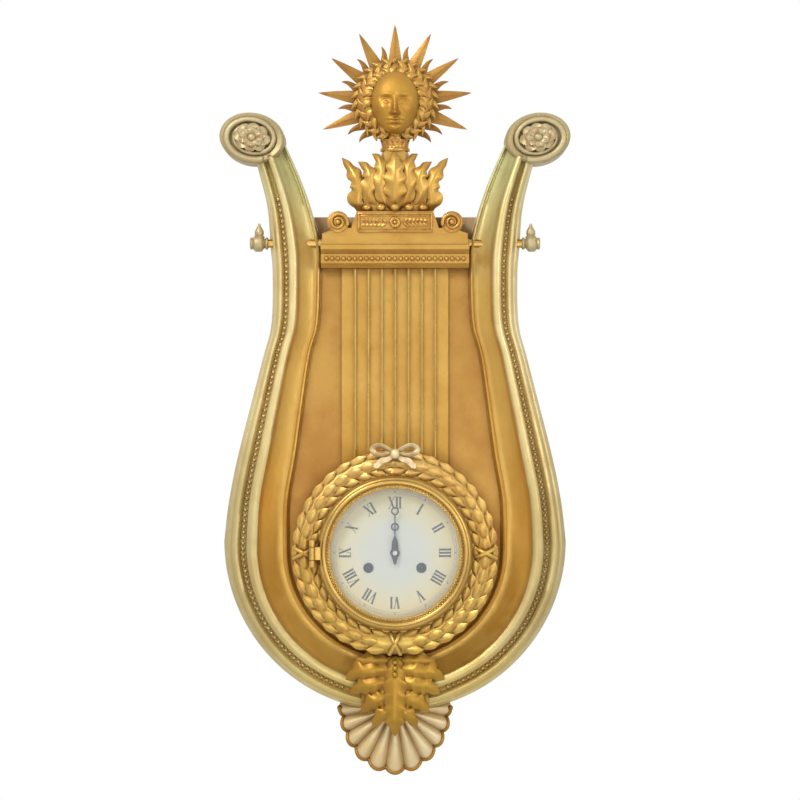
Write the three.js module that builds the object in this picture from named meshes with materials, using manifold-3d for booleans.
// Lyre cartel clock: a gilt carved lyre with a sun mask, hung on a wall, with a round striking movement.
// Pieces are drawn as seen from the front, in millimetres: x to the right, y up, z out of the wall.
// The dial axis is x = 0, y = 0 and the wall is z = 0. The last group turns y up into z up.
import * as THREE from 'three';
import { mergeVertices } from 'three/addons/utils/BufferGeometryUtils.js';
import Module from 'manifold-3d';

const wasm = await Module();
wasm.setup();

// Fits
const seat = 0.3; // clearance between two pieces that touch
const overrun = 4; // how far a cutting solid runs past what it cuts
const weldDepth = 0.6; // how far two volumes of one piece run into each other

// Depths out from the wall: each level is set from the one behind it
const hangerThickness = 2;
const backBoardGap = hangerThickness + seat;
const backBoardThickness = 6;
const backPlateDepth = 33;
const plateThickness = 2.5;
const barrelDrumLength = 20;
const barrelEndRoom = 14; // for the wheels behind a barrel and the play before it
const plateSpacing = barrelDrumLength + barrelEndRoom;
const pendulumSet = 11; // rod behind the back plate
const pendulumDepth = backPlateDepth - pendulumSet;
const bobThickness = 7;
const bobSwingRoom = 4.5; // bob's middle plane to the sound board, less half the bob
const soundBoardDepth = pendulumDepth + bobThickness / 2 + bobSwingRoom;
const soundBoardThickness = 10;
const dialStand = 8; // front plate to the ledge under the dial plate
const ringLedge = backPlateDepth + plateThickness * 2 + plateSpacing + dialStand;
const ledgeSink = 10; // ledge below the flat seat under the bezel
const ringLip = ringLedge + ledgeSink;
const ringRoll = 8; // crown of the ring above that seat
const ringFront = ringLip + ringRoll;
const bezelRise = 14;
const bezelFront = ringLip + bezelRise;

// Lyre: two carved arms round a hollow
const bowlRadius = 196;
const bowlRise = 11; // centre of the bowl's outer edge above the dial axis
const hollowShare = 0.62;
const hollowRadius = bowlRadius * hollowShare;
const armRise = 471; // centre of the scroll heads above the dial axis
const armDepth = 62;
const scrollReachShare = 0.831; // of the bowl's radius
const scrollReach = bowlRadius * scrollReachShare;
const scrollRadius = 37.5;
const scrollProud = 1; // in front of the arm's crest
const scrollBack = 7;
const scrollDepth = armDepth + scrollProud - scrollBack;
const scrollEdge = 5;
const scrollRim = 9;
const scrollSink = 4;
const scrollTilt = THREE.MathUtils.degToRad(10);
const scrollFlatShare = 0.77;
const rosetteHeight = 13;
const rosettePetals = 8;

// Case ring round the dial, its ribbon bow and the glazed bezel
const ringShare = 0.9464; // of the hollow's radius
const ringRadius = hollowRadius * ringShare;
const bezelShare = 0.7609; // of the ring's radius
const bezelRadius = ringRadius * bezelShare;
const apertureShare = 0.8343; // of the bezel's radius
const apertureRadius = bezelRadius * apertureShare;
const shoulderDrop = 20;
const ringShoulder = ringLip - shoulderDrop;
const ledgeWidth = 9;
const bezelPlay = 1.2; // room for the bezel to swing out of the ring
const glassLap = 3;
const glassRadius = apertureRadius + glassLap;
const glassThickness = 2.4;
const lipThickness = 2.6;
const hingeStand = 5.5; // hinge axis beyond the bezel's edge
const hingeReach = bezelRadius + hingeStand;
const hingeKnuckle = 3.4;
const hingePinRadius = 1.4;
const knuckleHeight = 15;
const hingeWeb = 2.4;
const bowHalfWidth = 27;
const bowHeight = 15;
const bowThickness = 7;
const bowRibbon = 5;
const bowDrop = 3; // knot below the ring's outer edge
const bowTilt = THREE.MathUtils.degToRad(18);

// Dial and hands
const dialLap = 4.6;
const dialRadius = apertureRadius + dialLap;
const dialPlateRadius = dialRadius + seat * 3;
const dialWellRadius = dialPlateRadius + seat * 2;
const ringBore = dialWellRadius - ledgeWidth;
const dialPlateThickness = 2;
const dialPlateWeb = 5; // between its opening and the winding holes
const dialThickness = 2;
const dialDome = 2;
const hourPipeRadius = 3.7;
const hourPipePlay = 0.7;
const dialCentreHole = hourPipeRadius + hourPipePlay;
const windingHole = 5;
const hourHandShare = 0.575; // both of the aperture's radius
const minuteHandShare = 0.85;
const handThickness = 0.9;
const hourHandLift = 1.6; // above the dial's crown
const minuteHandLift = 4.4;
const handTail = 14;
const handEyeRadius = 4.6;
const handEyeWall = 1.5;
const handShank = 1.4;
const lozengeHalfWidth = 3.4; // swelling of a hand on each side of its hub
const lozengeTop = 19;
const lozengeFoot = 6;
const hourEyeShare = 0.7;
const minuteEyeShare = 0.76;

// Boards behind and inside the lyre
const bobPlay = 11; // round the bob in its opening
const panelShare = 0.502; // half width, of the hollow's radius
const panelHalfWidth = hollowRadius * panelShare;
const panelThickness = 3;

// Strings
const stringCount = 7;
const stringRadius = 1.3;
const stringStand = 4; // string axis in front of the panel

// Crossbar, its rod and knobs
const crossbarDrop = 148; // its foot below the scroll heads' centres
const crossbarRise = armRise - crossbarDrop;
const crossbarHeight = 26;
const boardStand = 35; // back board's top above the crossbar
const boardTopRise = crossbarRise + crossbarHeight + boardStand;
const crossbarFront = 66;
const rodRadius = 5;
const rodDepth = 42;
const knobLength = 20.8; // out from the arm
const knobRadius = 9.5;
const knobFinialHeight = 18;
const knobFinialRadius = 6.5;

// Plinth and leaf crest over the crossbar
const plinthStep = 1.6; // crossbar's end beyond the plinth's
const plinthHeight = 38;
const plinthFront = 64;
const plinthRollRadius = 12.5;
const plinthRollInset = 18; // middle of a shoulder roll, from the plinth's end
const plinthWaistInset = 33;
const crestHalfWidth = 61;
const crestHeight = 66;
const crestFront = 60;
const crestBack = 20;
const crestBevel = 4;
const crestBulge = 20;

// Sun mask
const rayReach = 89;
const shortRayReach = 62; // the two rays beside the neck
const betweenRayReach = 64;
const rayCount = 13;
const fullRaysEachSide = 4;
const rayHalfWidth = 7.5;
const rayHalfDepth = 4.4;
const hubRadius = 46;
const hubThickness = 11;
const sunBack = 32;
const neckHalfWidth = 17;
const neckDepthShare = 0.75; // of the crest's depth
const neckDepth = (crestFront - crestBack) * neckDepthShare;
const neckLength = 11.5;
const neckWaistShare = 0.82;
const hairRadius = 50;
const hairHeight = 15;
const hairLocks = 13;
const faceHalfWidth = 29;
const faceHalfHeight = 40;
const faceHeight = 17;
const faceDrop = 3;
const noseHeight = 7;
const noseHalfWidth = 5;
const noseLength = 12;

// Foot of the lyre
const bossHalfWidth = 38;
const bossProud = 6; // in front of the arms
const bossFront = armDepth + bossProud;
const leafClearance = 1.5; // below the case ring
const leafHalfWidth = 56;
const leafHang = 24; // tip below the bowl
const leafProud = 8; // in front of the boss
const leafFront = bossFront + leafProud;
const leafBevel = 3;
const tongueBack = 40;
const tongueHalfWidth = 20;
const tongueEnd = 5; // above the leaf's tip
const pendantOverlap = 7; // its centre above the bowl's foot
const pendantHalfWidth = 66;
const pendantLength = 82;
const pendantBack = 8;
const pendantEdge = 9;
const pendantSwell = 22;
const pendantFlutes = 9;

// Movement: two round plates and what turns between them
const drumGap = 6.9; // inside the ring's bore
const drumRadius = ringBore - drumGap;
const drumWall = 1.2;
const drumLap = 3.2; // of the boards over the drum's ends
const plateGap = 4;
const bellOpeningRadius = drumRadius - drumLap;
const plateRadius = drumRadius - drumWall - plateGap;
const pillarRadius = 3;
const pillarInset = 7;
const pillarCircle = plateRadius - pillarInset;
const pivotRadius = 0.6;
const pivotClearance = 0.35;
const arborRadius = 1.4;
const fineArborRadius = 0.8; // where a pinion has few leaves
const wheelThickness = 1.4;
const pinionLength = 4.4;
const greatThickness = 2;
const barrelRoom = 1.8; // centre wheel to barrel
const escapeToothDepth = 1.5;
const windingArborRadius = 2.4;
const windingSquare = 3.4;
const ratchetRadius = 8;
const ratchetToothDepth = 1.2;
const ratchetTeeth = 16;
const cannonRadius = 2.4;

// Sizes of the wheelwork as shares of the plates' radius
const barrelDrumShare = 0.362;
const escapeShare = 0.1724;
const anchorRiseShare = 0.2241;
const barrelModuleShare = 0.01681;
const secondModuleShare = 0.01228;
const centreModuleShare = 0.008448;
const thirdModuleShare = 0.007586;
const motionModuleShare = 0.01603;
const barrelDrumRadius = plateRadius * barrelDrumShare;
const escapeRadius = plateRadius * escapeShare;
const anchorRise = plateRadius * anchorRiseShare; // anchor arbor above the escape arbor
const barrelModule = plateRadius * barrelModuleShare;
const secondModule = plateRadius * secondModuleShare;
const centreModule = plateRadius * centreModuleShare;
const thirdModule = plateRadius * thirdModuleShare;
const motionModule = plateRadius * motionModuleShare;

// Teeth as shares of the module, crossings as shares of the rim
const wheelTipShare = 0.7; // beyond the pitch circle
const wheelRootShare = 1.25; // inside it
const leafTipShare = 0.55;
const leafRootShare = 1.35;
const leafTipWidthShare = 0.1; // of the leaf's pitch, each side of its middle
const leafRootWidthShare = 0.17;
const rimModules = 3; // from the pitch circle in to the crossings
const pinRimModules = 6;
const crossingHubShare = 0.32;
const crossingArmShare = 0.16;
const toothLeanShare = 0.7;
const ratchetLeanShare = 0.25;

// Bearings of the arbors, each seen from the one before it, and of the pillars and dial feet
const secondAngle = THREE.MathUtils.degToRad(23);
const barrelAngle = THREE.MathUtils.degToRad(-65);
const thirdAngle = THREE.MathUtils.degToRad(110.5);
const minuteWheelAngle = THREE.MathUtils.degToRad(-90);
const pinWheelAngle = THREE.MathUtils.degToRad(95);
const warningAngle = THREE.MathUtils.degToRad(60);
const flyAngle = THREE.MathUtils.degToRad(100);
const hammerHeadAngle = THREE.MathUtils.degToRad(-135);
const pillarAngles = [35, 140, -76, -104].map((angle) => THREE.MathUtils.degToRad(angle));
const footAngles = [60, 165, -90].map((angle) => THREE.MathUtils.degToRad(angle));

// Striking side
const flyHalfWidth = 8;
const flyHeight = 14;
const flyThickness = 0.8;
const strikePinRadius = 0.7;
const strikePinInset = 2.4; // pins inside the pin wheel's pitch circle
const strikePinLength = 1.6;
const levelGap = 0.4; // between one wheel's pins and the next wheel
const wheelStep = wheelThickness + strikePinLength + levelGap; // from one level of wheels to the next
const strikePins = 8;
const hammerReachShare = 0.9138; // hammer's arbor from the centre, of the plates' radius
const hammerDropShare = 0.0172;
const hammerHeadRadius = 3;
const hammerHeadLength = 7;
const hammerArmWidth = 3;
const hammerArmThickness = 1.6;
const hammerTailThickness = 1.2;
const hammerStandOff = 2; // arm behind the back plate
const hammerGap = 0.6; // head to bell, and tail to pins

// Pendulum, its cock and the bell
const pendulumShare = 2.069; // length, of the plates' radius
const pendulumLength = plateRadius * pendulumShare;
const pendulumSwing = THREE.MathUtils.degToRad(5);
const pendulumRodRadius = 1.1;
const suspensionLength = 11;
const suspensionWidth = 4;
const suspensionThickness = 0.5;
const suspensionBlock = 5.6;
const suspensionShare = 0.862; // height above the dial axis, of the plates' radius
const suspensionRise = plateRadius * suspensionShare;
const bobRadius = 15;
const cockSpan = 36;
const cockHeight = 12;
const cockThickness = 3;
const cockStand = 5;
const studWidth = 6;
const crutchWidth = 3;
const crutchThickness = 2;
const crutchLength = 35;
const forkPlay = 0.6;
const forkWall = 1.6;
const anchorThickness = 1.6;
const palletReachShare = 0.72; // of the escape wheel's radius
const bellShare = 0.4828; // of the plates' radius
const bellRadius = plateRadius * bellShare;
const bellOffsetShare = 0.431;
const bellOffset = -plateRadius * bellOffsetShare;
const bellWall = 1.6;
const bellLift = 4;
const bellBack = 4;
const bellGap = 5; // bell to the middle of the pendulum rod
const bellHeight = pendulumDepth - bellGap - bellBack;
const bellPostRadius = 2.2;
const bellCollarRadius = 4;

// Hanging plate and rear cover
const hangerWidth = 46;
const hangerHeight = 64;
const hangerRise = boardTopRise - hangerHeight / 2; // its middle, the part's origin
const hangerCorner = 7.7;
const keyholeRadius = 6;
const keyholeSlot = 3.2;
const keyholeRun = 14;
const keyholeRim = 4; // plate below the keyhole
const keyholeDrop = hangerHeight / 2 - keyholeRun / 2 - keyholeRadius - keyholeRim;
const hookRoom = 4.5; // depth of the pocket behind the keyhole
const coverThickness = 1.2;
const coverLap = 4.8;
const coverSlots = 6;
const coverSlotCircleShare = 0.62;

// Counts and steps
const bowlSteps = 8;
const climbSteps = 18; // twice the rows of armEdgeShares
const roundSteps = 28; // a multiple of four, so that flats of nested rounds line up
const middleSteps = 20;
const bobSteps = 16;
const smallSteps = 12;
const pivotSteps = 6;
const faceRings = 5;
const rosetteRings = 3;
const pendantRings = 4;
const leafSteps = 14;
const stringSteps = 6;
const eyeSteps = 8;
const pinSteps = 4;
const crossingSteps = 2;
const barrelTeeth = 48;
const secondPinionLeaves = 8;
const secondTeeth = 48;
const centrePinionLeaves = 8;
const centreTeeth = 72;
const thirdPinionLeaves = 6;
const thirdTeeth = 72;
const escapePinionLeaves = 6;
const escapeTeeth = 36;
const cannonLeaves = 8;
const minuteWheelTeeth = 24;
const minutePinionLeaves = 8;
const hourWheelTeeth = 32;
const strikePinTeeth = 48;
const warningPinionLeaves = 8;
const warningTeeth = 36;
const flyPinionLeaves = 6;

// Each row: rise as a share of armRise, then inner and outer edge as shares of bowlRadius
const armEdgeShares = [
  [0.121, 0.618, 0.972],
  [0.24, 0.572, 0.914],
  [0.461, 0.5, 0.778],
  [0.552, 0.446, 0.724],
  [0.673, 0.434, 0.717],
  [0.743, 0.438, 0.73],
  [0.828, 0.49, 0.745],
  [0.907, 0.556, 0.788],
  [1, 0.655, 0.852],
];
// Section of an arm: across from the inner edge, and out from the wall as a share of armDepth
const armSectionShares = [
  [0, 0],
  [0, 0.7],
  [0.045, 0.78],
  [0.1, 0.71],
  [0.34, 0.84],
  [0.54, 1],
  [0.65, 0.95],
  [0.7, 0.79],
  [0.83, 0.9],
  [0.95, 0.7],
  [1, 0.56],
  [1, 0],
];

// Outlines as shares of half width and height: the crest's up its right side, the leaf's down
const crestShares = [
  [0.66, 0],
  [0.69, 0.2],
  [0.62, 0.36],
  [0.67, 0.55],
  [0.84, 0.76],
  [1, 0.95],
  [0.78, 0.86],
  [0.6, 0.7],
  [0.47, 0.66],
  [0.4, 0.8],
  [0.3, 0.95],
];
const crestTopShare = 1.04;
const neckFoot = crossbarRise + crossbarHeight + plinthHeight + crestHeight * crestTopShare + seat * 3;
const sunRise = neckFoot + neckLength + hubRadius;
const bossLeafShares = [
  [0.45, 0],
  [0.78, 0.08],
  [1, 0.28],
  [0.9, 0.44],
  [0.66, 0.54],
  [0.6, 0.68],
  [0.36, 0.86],
  [0, 1],
];
const rosetteRimShare = 0.82;
const rosetteWaveShare = 0.15;
const budShare = 0.3;
const petalHeightShare = 0.62;
// Turned outlines: radius and height as shares of the piece's own
const knobShares = [
  [0.74, 0],
  [1, 0.4],
  [1, 0.75],
  [0.74, 1],
];
const bobShares = [
  [0, -1],
  [0.55, -0.82],
  [0.9, -0.35],
  [1, 0],
  [0.9, 0.35],
  [0.55, 0.82],
  [0, 1],
];
const bellStepShares = [0, 0.35, 0.7, 1];
const rollStepShares = [0.2, 0.5, 0.8];

// Finishes
const gilt = finish(0xc99a4c, 0.75, 0.42);
const giltShade = finish(0xb98a3e, 0.75, 0.48);
const giltPale = finish(0xd9bd8c, 0.55, 0.5);
const limewood = finish(0xb58e5e, 0, 0.8);
const brass = finish(0xc2a052, 0.9, 0.32);
const steel = finish(0x8a8d92, 0.9, 0.3);
const blued = finish(0x23262d, 0.8, 0.35);
const enamel = finish(0xe6e3d8, 0, 0.22);
const glass = finish(0xdfe7e8, 0, 0.05);
const bronze = finish(0xb49a62, 0.9, 0.3);

function finish(color, metalness, roughness) {
  return new THREE.MeshStandardMaterial({ color, metalness, roughness });
}

// Closed mesh with shared vertices, no collapsed triangles and its faces pointing out
function closed(geometry) {
  const bare = new THREE.BufferGeometry();
  bare.setAttribute('position', geometry.getAttribute('position').clone());
  bare.setIndex(geometry.index);
  const merged = mergeVertices(bare);
  const position = merged.getAttribute('position');
  const kept = [];
  let volume = 0;
  for (let i = 0; i < merged.index.count; i += 3) {
    const [a, b, c] = [0, 1, 2].map((k) => merged.index.getX(i + k));
    if (a === b || b === c || c === a) continue;
    kept.push(a, b, c);
    const [p, q, r] = [a, b, c].map((k) => new THREE.Vector3().fromBufferAttribute(position, k));
    volume += p.dot(q.cross(r));
  }
  if (volume < 0) kept.reverse();
  merged.setIndex(kept);
  return merged;
}

function solid(geometry) {
  const mesh = closed(geometry);
  const vertProperties = new Float32Array(mesh.getAttribute('position').array);
  const triVerts = new Uint32Array(mesh.index.array);
  return new wasm.Manifold(new wasm.Mesh({ numProp: 3, vertProperties, triVerts }));
}

function meshOf(manifold) {
  const mesh = manifold.getMesh();
  const geometry = new THREE.BufferGeometry();
  geometry.setAttribute('position', new THREE.BufferAttribute(mesh.vertProperties, 3));
  geometry.setIndex(new THREE.BufferAttribute(mesh.triVerts, 1));
  return geometry;
}

function joined(...geometries) {
  return meshOf(geometries.map(solid).reduce((whole, piece) => whole.add(piece)));
}

function cut(geometry, ...cutters) {
  return meshOf(cutters.map(solid).reduce((whole, piece) => whole.subtract(piece), solid(geometry)));
}

// Flat piece from an outline in x, y, between two depths
function slab(shape, back, front, curveSegments = smallSteps) {
  const options = { depth: front - back, bevelEnabled: false, curveSegments };
  return closed(new THREE.ExtrudeGeometry(shape, options).translate(0, 0, back));
}

// Outline drawn in by a distance, each corner along the mean of its two edges' normals
function drawnIn(outline, distance) {
  return outline.map((point, k) => {
    const before = outline.at(k - 1);
    const after = outline[(k + 1) % outline.length];
    const edges = [point.clone().sub(before), after.clone().sub(point)];
    const inward = new THREE.Vector2();
    edges.forEach((edge) => inward.add(new THREE.Vector2(-edge.y, edge.x).normalize()));
    return point.clone().add(inward.normalize().multiplyScalar(distance));
  });
}

// Flat piece whose front edge is chamfered
function chamferedSlab(shape, back, front, chamfer) {
  const outline = shape.getPoints(smallSteps);
  if (THREE.ShapeUtils.isClockWise(outline)) outline.reverse();
  const layers = [
    [outline, back],
    [outline, front - chamfer],
    [drawnIn(outline, chamfer), front],
  ];
  return loft(layers.map(([ring, depth]) => ring.map(({ x, y }) => new THREE.Vector3(x, y, depth))), outline);
}

function box(width, height, depth, x = 0, y = 0, z = 0) {
  return new THREE.BoxGeometry(width, height, depth).translate(x, y, z);
}

// Turned piece round the z axis: points are radius and depth
function turned(points, steps = roundSteps) {
  const profile = points.map(([radius, depth]) => new THREE.Vector2(radius, depth));
  return closed(new THREE.LatheGeometry(profile, steps).rotateX(Math.PI / 2));
}

function disc(radius, back, front, steps = roundSteps, x = 0, y = 0) {
  return turned([[0, back], [radius, back], [radius, front], [0, front]], steps).translate(x, y, 0);
}

function rodAlongX(radius, from, to, y, z, steps = smallSteps) {
  return disc(radius, from, to, steps).rotateY(Math.PI / 2).translate(0, y, z);
}

function rodAlongY(radius, from, to, x, z, steps = smallSteps) {
  return disc(radius, from, to, steps).rotateX(-Math.PI / 2).translate(x, 0, z);
}

function mirrored(geometry) {
  return closed(geometry.clone().scale(-1, 1, 1));
}

// Skin through rings of points, closed at both ends by the flat outline they share
function loft(rings, outline) {
  const count = outline.length;
  const index = [];
  rings.slice(1).forEach((ring, row) => {
    outline.forEach((point, k) => {
      const a = row * count + k;
      const b = row * count + ((k + 1) % count);
      index.push(a, b, b + count, a, b + count, a + count);
    });
  });
  const last = (rings.length - 1) * count;
  THREE.ShapeUtils.triangulateShape(outline, []).forEach(([a, b, c]) => {
    const caps = THREE.ShapeUtils.isClockWise(outline) ? [a, b, c, last + c, last + b, last + a] : [c, b, a];
    if (caps.length === 3) caps.push(last + a, last + b, last + c);
    index.push(...caps);
  });
  const geometry = new THREE.BufferGeometry().setFromPoints(rings.flat());
  geometry.setIndex(index);
  return closed(geometry);
}

// Carved dome on a flat back: rim radius by angle, height by place, on a polar grid
function relief(radiusAt, heightAt, back, rings, spokes) {
  const points = [new THREE.Vector3(0, 0, back + heightAt(0, 0, 0, 0))];
  for (let ring = 1; ring <= rings; ring += 1) {
    for (let spoke = 0; spoke < spokes; spoke += 1) {
      const angle = (spoke / spokes) * 2 * Math.PI;
      const share = Math.sin((ring / rings) * (Math.PI / 2));
      const radius = share * radiusAt(angle);
      const x = radius * Math.cos(angle);
      const y = radius * Math.sin(angle);
      points.push(new THREE.Vector3(x, y, back + heightAt(x, y, share, angle)));
    }
  }
  const rim = points.slice(-spokes);
  const foot = points.length;
  rim.forEach((point) => points.push(new THREE.Vector3(point.x, point.y, back)));
  points.push(new THREE.Vector3(0, 0, back));
  const index = [];
  for (let spoke = 0; spoke < spokes; spoke += 1) {
    const next = (spoke + 1) % spokes;
    index.push(0, 1 + spoke, 1 + next);
    for (let row = 1; row < foot; row += spokes) {
      index.push(row + spoke, row + spokes + spoke, row + spokes + next);
      index.push(row + spoke, row + spokes + next, row + next);
    }
    index.push(points.length - 1, foot + next, foot + spoke);
  }
  const geometry = new THREE.BufferGeometry().setFromPoints(points);
  geometry.setIndex(index);
  return closed(geometry);
}

function shapeOf(points) {
  return new THREE.Shape(points.map(([x, y]) => new THREE.Vector2(x, y)));
}

function around(radius, steps, x = 0, y = 0) {
  return Array.from({ length: steps }, (unused, step) => {
    const angle = (step / steps) * 2 * Math.PI;
    return new THREE.Vector2(x + radius * Math.cos(angle), y + radius * Math.sin(angle));
  });
}

function circle(radius, steps = roundSteps) {
  return new THREE.Shape(around(radius, steps));
}

function hole(radius, steps = smallSteps, x = 0, y = 0) {
  return new THREE.Path(around(radius, steps, x, y));
}

// Symmetric outline from its right half, listed from the foot up
function symmetric(rightHalf) {
  const leftHalf = rightHalf.filter(([x]) => x > 0).map(([x, y]) => [-x, y]).reverse();
  return shapeOf([...rightHalf, ...leftHalf]);
}

function polar(radius, angle) {
  return [radius * Math.cos(angle), radius * Math.sin(angle)];
}

// Smooth run through hand-chosen points, as plain pairs
function smooth(points, steps) {
  const curve = new THREE.SplineCurve(points.map(([x, y]) => new THREE.Vector2(x, y)));
  return curve.getPoints(steps).map((point) => [point.x, point.y]);
}

// Edges of the right arm from the foot to the scroll head, as pairs of inner and outer points
function armStations() {
  const foot = bossHalfWidth + seat;
  const inner = -Math.acos(foot / hollowRadius);
  const outer = -Math.acos(foot / bowlRadius);
  const bowl = [];
  for (let step = 0; step <= bowlSteps; step += 1) {
    const left = 1 - step / bowlSteps;
    const [outerX, outerY] = polar(bowlRadius, outer * left);
    bowl.push({ inner: polar(hollowRadius, inner * left), outer: [outerX, bowlRise + outerY] });
  }
  const innerPoints = armEdgeShares.map(([rise, x]) => [x * bowlRadius, rise * armRise]);
  const outerPoints = armEdgeShares.map(([rise, , x]) => [x * bowlRadius, rise * armRise]);
  const innerRun = smooth([bowl.at(-1).inner, ...innerPoints], climbSteps);
  const outerRun = smooth([bowl.at(-1).outer, ...outerPoints], climbSteps);
  const climb = innerRun.map((point, step) => ({ inner: point, outer: outerRun[step] }));
  return [...bowl, ...climb.slice(1)];
}

const stations = armStations();

// Distance of the arm's inner or outer edge from the middle, at a height above the dial axis
function edgeAt(edge, height) {
  const above = stations.findIndex((station) => station[edge][1] >= height);
  const [x0, y0] = stations[above - 1][edge];
  const [x1, y1] = stations[above][edge];
  return x0 + ((x1 - x0) * (height - y0)) / (y1 - y0);
}

// Outline of a board that fills the hollow up to a height
function hollowOutline(top) {
  const foot = Math.acos((bossHalfWidth + seat) / hollowRadius);
  const radius = hollowRadius - seat;
  const footSteps = 5;
  const points = [];
  for (let step = 0; step < footSteps; step += 1) {
    const angle = -Math.PI / 2 + ((Math.PI / 2 - foot) * step) / footSteps;
    points.push([radius * Math.cos(angle), radius * Math.sin(angle)]);
  }
  points[0][0] = 0;
  stations.filter(({ inner }) => inner[1] < top).forEach(({ inner: [x, y] }) => {
    const scale = y < 0 ? radius / hollowRadius : 1;
    points.push(y < 0 ? [x * scale, y * scale] : [x - seat, y]);
  });
  points.push([edgeAt('inner', top) - seat, top]);
  return symmetric(points);
}

// Lyre arms
function scrollHead() {
  const front = scrollBack + scrollDepth;
  const profile = [
    [0, scrollBack],
    [scrollRadius - scrollEdge, scrollBack],
    [scrollRadius, scrollBack + scrollEdge],
    [scrollRadius, front - scrollEdge * 2],
    [scrollRadius - scrollEdge, front],
    [0, front],
  ];
  return atScroll(turned(profile, middleSteps));
}

function atScroll(geometry) {
  return geometry.scale(1, scrollFlatShare, 1).rotateZ(scrollTilt).translate(scrollReach, armRise, 0);
}

// Sunk eye of the scroll, where the rosette sits
function scrollEye() {
  const front = scrollBack + scrollDepth;
  const radius = scrollRadius - scrollRim;
  return atScroll(turned([
    [0, front - scrollSink],
    [radius - scrollEdge, front - scrollSink],
    [radius, front + scrollSink],
    [0, front + scrollSink],
  ], middleSteps));
}

function rightArm() {
  const outline = armSectionShares.map(([across, out]) => new THREE.Vector2(across, out));
  const rings = stations.map(({ inner, outer }) => armSectionShares.map(([across, out]) => {
    const x = inner[0] + (outer[0] - inner[0]) * across;
    const y = inner[1] + (outer[1] - inner[1]) * across;
    return new THREE.Vector3(x, y, out * armDepth);
  }));
  return cut(joined(loft(rings, outline), scrollHead()), scrollEye(), rodHole());
}

// Flower with its petals round a bud
function rosette() {
  const radius = scrollRadius - scrollRim - scrollEdge - seat;
  const wave = (angle) => Math.abs(Math.cos((rosettePetals / 2) * angle));
  const radiusAt = (angle) => radius * (rosetteRimShare + rosetteWaveShare * wave(angle));
  const heightAt = (x, y, share, angle) => {
    if (share < budShare) return rosetteHeight;
    const petal = rosetteHeight * petalHeightShare * (1 - rosetteWaveShare + rosetteWaveShare * wave(angle));
    return petal * (1 - share ** 4 / 2);
  };
  return relief(radiusAt, heightAt, 0, rosetteRings, rosettePetals * 3).scale(1, scrollFlatShare, 1);
}

// Boards
function backBoard() {
  const back = backBoardGap;
  const front = back + backBoardThickness;
  const board = slab(hollowOutline(boardTopRise), back, front);
  const round = disc(bellOpeningRadius, back - overrun, front + overrun);
  const bobHalf = bobRadius + bobPlay;
  const slotFoot = pendulumLength - suspensionRise + bobHalf;
  const slotHeight = slotFoot - bellOpeningRadius / 2;
  const slotMiddle = (back + front) / 2;
  const slot = box(bobHalf * 2, slotHeight, overrun * 4, 0, slotHeight / 2 - slotFoot, slotMiddle);
  const pocketWidth = keyholeRadius * 4;
  const pocket = box(pocketWidth, keyholeRun + pocketWidth, hookRoom * 2, 0, hangerRise - keyholeDrop, back);
  return cut(board, round, slot, pocket);
}

function soundBoard() {
  const shape = hollowOutline(crossbarRise + crossbarHeight / 2);
  shape.holes.push(hole(drumRadius + seat, roundSteps));
  return slab(shape, soundBoardDepth, soundBoardDepth + soundBoardThickness);
}

function stringPanel() {
  const back = soundBoardDepth + soundBoardThickness + seat;
  const radius = ringRadius + seat;
  const corner = Math.acos(panelHalfWidth / radius);
  const shape = new THREE.Shape();
  shape.moveTo(panelHalfWidth, crossbarRise - seat);
  shape.lineTo(-panelHalfWidth, crossbarRise - seat);
  shape.absarc(0, 0, radius, Math.PI - corner, corner, true);
  shape.closePath();
  return slab(shape, back, back + panelThickness);
}

function stringAt(x) {
  const foot = Math.sqrt((ringRadius + seat) ** 2 - x ** 2) + stringRadius;
  const depth = soundBoardDepth + soundBoardThickness + panelThickness + stringStand;
  return rodAlongY(stringRadius, foot, crossbarRise - seat, x, depth, stringSteps);
}

// Crossbar and the rod through it
function rodRise() {
  return crossbarRise + crossbarHeight + rodRadius / 2;
}

// Where the knob starts, just outside the arm at the knob's own height
function knobStart() {
  const [low, high] = [rodRise() - knobRadius, rodRise() + knobRadius];
  const finialTip = rodRise() + knobRadius / 2 + knobFinialHeight;
  const besideTip = edgeAt('outer', finialTip) - knobLength / 2;
  return Math.max(edgeAt('outer', low), edgeAt('outer', high), besideTip) + seat;
}

function crossbarHalfLength() {
  const middle = crossbarRise + crossbarHeight / 2;
  const rises = [crossbarRise, middle, crossbarRise + crossbarHeight, rodRise() + plinthHeight / 2];
  return Math.min(...rises.map((rise) => edgeAt('inner', rise))) - seat;
}

function rodHole() {
  const reach = knobStart() + knobLength;
  return rodAlongX(rodRadius + seat, -reach, reach, rodRise(), rodDepth);
}

function alongX(profile, halfLength) {
  const shape = shapeOf(profile);
  const options = { depth: halfLength * 2, bevelEnabled: false };
  return closed(new THREE.ExtrudeGeometry(shape, options).translate(0, 0, -halfLength).rotateY(-Math.PI / 2));
}

function crossbar() {
  const back = soundBoardDepth + soundBoardThickness + seat;
  const top = crossbarRise + crossbarHeight;
  const step = crossbarHeight / 5;
  const profile = [
    [back, crossbarRise],
    [crossbarFront - step * 2, crossbarRise],
    [crossbarFront - step, crossbarRise + step],
    [crossbarFront - step, top - step * 2],
    [crossbarFront, top - step],
    [crossbarFront, top],
    [back, top],
  ];
  return cut(alongX(profile, crossbarHalfLength()), rodHole());
}

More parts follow.
